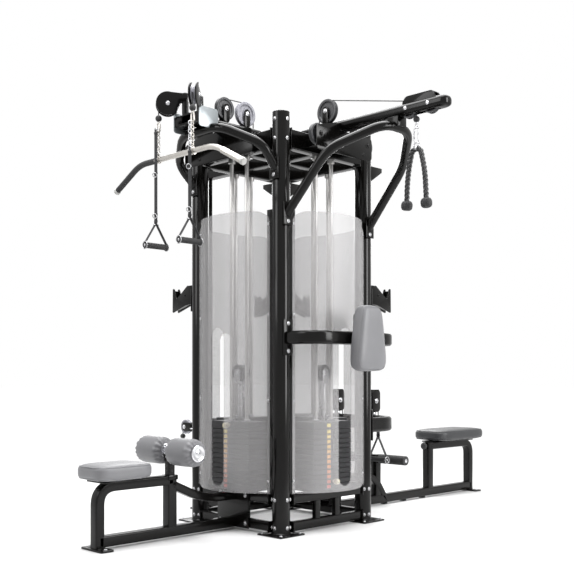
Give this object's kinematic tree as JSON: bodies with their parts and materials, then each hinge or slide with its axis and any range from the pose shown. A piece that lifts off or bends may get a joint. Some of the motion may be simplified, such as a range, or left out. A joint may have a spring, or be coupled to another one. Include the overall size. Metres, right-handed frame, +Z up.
{
  "type": "multi station home gym",
  "caption": "Four sided cable gym tower with shrouded weight stacks, a pulldown seat, a pushdown boom with a back pad, a seated row bench and a sliding pulley column.",
  "frame": {"origin": "on the floor, under the middle of the whole gym's box", "axes": "+Z up, -Y towards the pulldown seat, +X along the pushdown boom"},
  "size_m": [2.0668, 3.212, 2.329],
  "materials": {
    "frame": "gloss black powder coat",
    "shroud": "frosted",
    "plates": "satin dark",
    "knob": "cream",
    "pale_pulley": "satin pale grey",
    "pulley": "satin dark",
    "cable": "satin jacket",
    "chrome": "polished",
    "strap": "woven strap and moulded grip",
    "rope": "twisted rope",
    "vinyl": "grained light grey vinyl",
    "dark_vinyl": "grained dark grey vinyl",
    "sleeve": "matte"
  },
  "bodies": {
    "tower": {"post_front": "frame", "post_right": "frame", "post_back": "frame", "post_left": "frame", "ladder_pulldown": "frame", "ladder_pushdown": "frame", "ladder_row": "frame", "ladder_column": "frame", "top_frame": "frame", "pulldown_overhead": "frame", "pushdown_overhead": "frame", "fascia_pulldown": "frame", "fascia_pushdown": "frame", "pad_bow": "frame", "row_bow": "frame", "pulldown_bench": "frame", "row_bench": "frame", "shroud_pulldown": "shroud", "shroud_pushdown": "shroud", "shroud_row": "shroud", "shroud_column": "shroud", "stack_base_pulldown": "plates", "stack_base_pushdown": "plates", "stack_base_row": "plates", "stack_base_column": "plates", "cable_pulldown": "cable", "cable_pushdown": "cable", "pulldown_seat": "vinyl", "back_pad": "vinyl", "row_seat": "dark_vinyl"},
    "lift_pulldown": {"stack_lift_pulldown": "plates"},
    "lift_pushdown": {"stack_lift_pushdown": "plates"},
    "lift_row": {"stack_lift_row": "plates"},
    "lift_column": {"stack_lift_column": "plates"},
    "pin_pulldown": {"selector_pin_pulldown": "knob"},
    "pin_pushdown": {"selector_pin_pushdown": "knob"},
    "pin_row": {"selector_pin_row": "knob"},
    "pin_column": {"selector_pin_column": "knob"},
    "bar": {"pulldown_bar": "chrome", "cable_drop_left": "cable", "cable_drop_right": "cable"},
    "handle_left": {"pulldown_handle_left": "strap"},
    "handle_right": {"pulldown_handle_right": "strap"},
    "rope": {"pushdown_rope": "rope", "cable_drop_pushdown": "cable"},
    "wheel_left": {"pulldown_pulley_left": "pale_pulley"},
    "wheel_right": {"pulldown_pulley_right": "pale_pulley"},
    "wheel_top_pulldown": {"top_pulley_pulldown": "pale_pulley"},
    "wheel_top_pushdown": {"top_pulley_pushdown": "pulley"},
    "wheel_boom_inner": {"boom_pulley_inner": "pulley"},
    "wheel_boom_outer": {"boom_pulley_outer": "pulley"},
    "roller_frame": {"roller_upright": "chrome"},
    "roller_left": {"thigh_roller_left": "vinyl"},
    "roller_right": {"thigh_roller_right": "vinyl"},
    "swivel_left": {"row_swivel_left": "chrome"},
    "swivel_right": {"row_swivel_right": "chrome"},
    "row_grip_left": {"row_handle_left": "strap"},
    "row_grip_right": {"row_handle_right": "strap"},
    "foot_bar": {"foot_rest": "sleeve"},
    "carriage": {"column_carriage": "frame"}
  },
  "joints": [
    {"name": "pulldown_pull", "type": "slide", "parent": "tower", "child": "bar", "axis": [0, 0, -1], "range_m": [0, 0.8], "deforming": ["cable_drop_left", "cable_drop_right"]},
    {"name": "pulldown_lift", "type": "slide", "parent": "tower", "child": "lift_pulldown", "axis": [0, 0, 1], "range_m": [0, 0.4]},
    {"name": "pulldown_pin", "type": "slide", "parent": "lift_pulldown", "child": "pin_pulldown", "axis": [0, -1, 0], "range_m": [0, 0.05]},
    {"name": "handle_left_swing", "type": "hinge", "parent": "bar", "child": "handle_left", "pos_m": [-0.2566, -1.093, 2.104], "axis": [0, 1, 0], "range_deg": [-8, 8]},
    {"name": "handle_right_swing", "type": "hinge", "parent": "bar", "child": "handle_right", "pos_m": [0.0234, -1.093, 2.104], "axis": [0, 1, 0], "range_deg": [-8, 8]},
    {"name": "pushdown_pull", "type": "slide", "parent": "tower", "child": "rope", "axis": [0, 0, -1], "range_m": [0, 0.9], "deforming": ["cable_drop_pushdown"]},
    {"name": "pushdown_lift", "type": "slide", "parent": "tower", "child": "lift_pushdown", "axis": [0, 0, 1], "range_m": [0, 0.45]},
    {"name": "pushdown_pin", "type": "slide", "parent": "lift_pushdown", "child": "pin_pushdown", "axis": [1, 0, 0], "range_m": [0, 0.05]},
    {"name": "row_lift", "type": "slide", "parent": "tower", "child": "lift_row", "axis": [0, 0, 1], "range_m": [0, 0.6]},
    {"name": "row_pin", "type": "slide", "parent": "lift_row", "child": "pin_row", "axis": [0, 1, 0], "range_m": [0, 0.05]},
    {"name": "column_lift", "type": "slide", "parent": "tower", "child": "lift_column", "axis": [0, 0, 1], "range_m": [0, 0.6]},
    {"name": "column_pin", "type": "slide", "parent": "lift_column", "child": "pin_column", "axis": [-1, 0, 0], "range_m": [0, 0.05]},
    {"name": "wheel_left_spin", "type": "hinge", "parent": "tower", "child": "wheel_left", "pos_m": [-0.22961, -1.03655, 2.25], "axis": [0.8186, -0.5744, 0], "continuous": true},
    {"name": "wheel_right_spin", "type": "hinge", "parent": "tower", "child": "wheel_right", "pos_m": [-0.00359, -1.03655, 2.25], "axis": [0.8186, 0.5744, 0], "continuous": true},
    {"name": "wheel_top_pulldown_spin", "type": "hinge", "parent": "tower", "child": "wheel_top_pulldown", "pos_m": [-0.1166, -0.592, 2.262], "axis": [1, 0, 0], "continuous": true},
    {"name": "wheel_top_pushdown_spin", "type": "hinge", "parent": "tower", "child": "wheel_top_pushdown", "pos_m": [0.2394, -0.31, 2.262], "axis": [0, 1, 0], "continuous": true},
    {"name": "wheel_boom_inner_spin", "type": "hinge", "parent": "tower", "child": "wheel_boom_inner", "pos_m": [0.7954, -0.31, 2.16], "axis": [0, 1, 0], "continuous": true},
    {"name": "wheel_boom_outer_spin", "type": "hinge", "parent": "tower", "child": "wheel_boom_outer", "pos_m": [0.9314, -0.31, 2.16], "axis": [0, 1, 0], "continuous": true},
    {"name": "roller_height", "type": "slide", "parent": "tower", "child": "roller_frame", "axis": [0, 0, 1], "range_m": [0, 0.12]},
    {"name": "roller_left_spin", "type": "hinge", "parent": "roller_frame", "child": "roller_left", "pos_m": [-0.1166, -1.11, 0.446], "axis": [1, 0, 0], "continuous": true},
    {"name": "roller_right_spin", "type": "hinge", "parent": "roller_frame", "child": "roller_right", "pos_m": [-0.1166, -1.11, 0.446], "axis": [1, 0, 0], "continuous": true},
    {"name": "swivel_left_turn", "type": "hinge", "parent": "tower", "child": "swivel_left", "pos_m": [0.0294, 0.33, 0.672], "axis": [0, 0, 1], "range_deg": [-40, 40]},
    {"name": "swivel_right_turn", "type": "hinge", "parent": "tower", "child": "swivel_right", "pos_m": [-0.2626, 0.33, 0.672], "axis": [0, 0, 1], "range_deg": [-40, 40]},
    {"name": "row_grip_left_swing", "type": "hinge", "parent": "swivel_left", "child": "row_grip_left", "pos_m": [0.0294, 0.3791, 0.672], "axis": [1, 0, 0], "range_deg": [0, 15]},
    {"name": "row_grip_right_swing", "type": "hinge", "parent": "swivel_right", "child": "row_grip_right", "pos_m": [-0.2626, 0.3791, 0.672], "axis": [1, 0, 0], "range_deg": [0, 15]},
    {"name": "foot_bar_spin", "type": "hinge", "parent": "tower", "child": "foot_bar", "pos_m": [-0.1166, 0.534, 0.298], "axis": [1, 0, 0], "continuous": true},
    {"name": "carriage_height", "type": "slide", "parent": "tower", "child": "carriage", "axis": [0, 0, 1], "range_m": [-0.28, 1.35]}
  ],
  "couplings": [
    {"joint": "pulldown_lift", "follows": "pulldown_pull", "ratio": 0.5},
    {"joint": "pushdown_lift", "follows": "pushdown_pull", "ratio": 0.5}
  ]
}
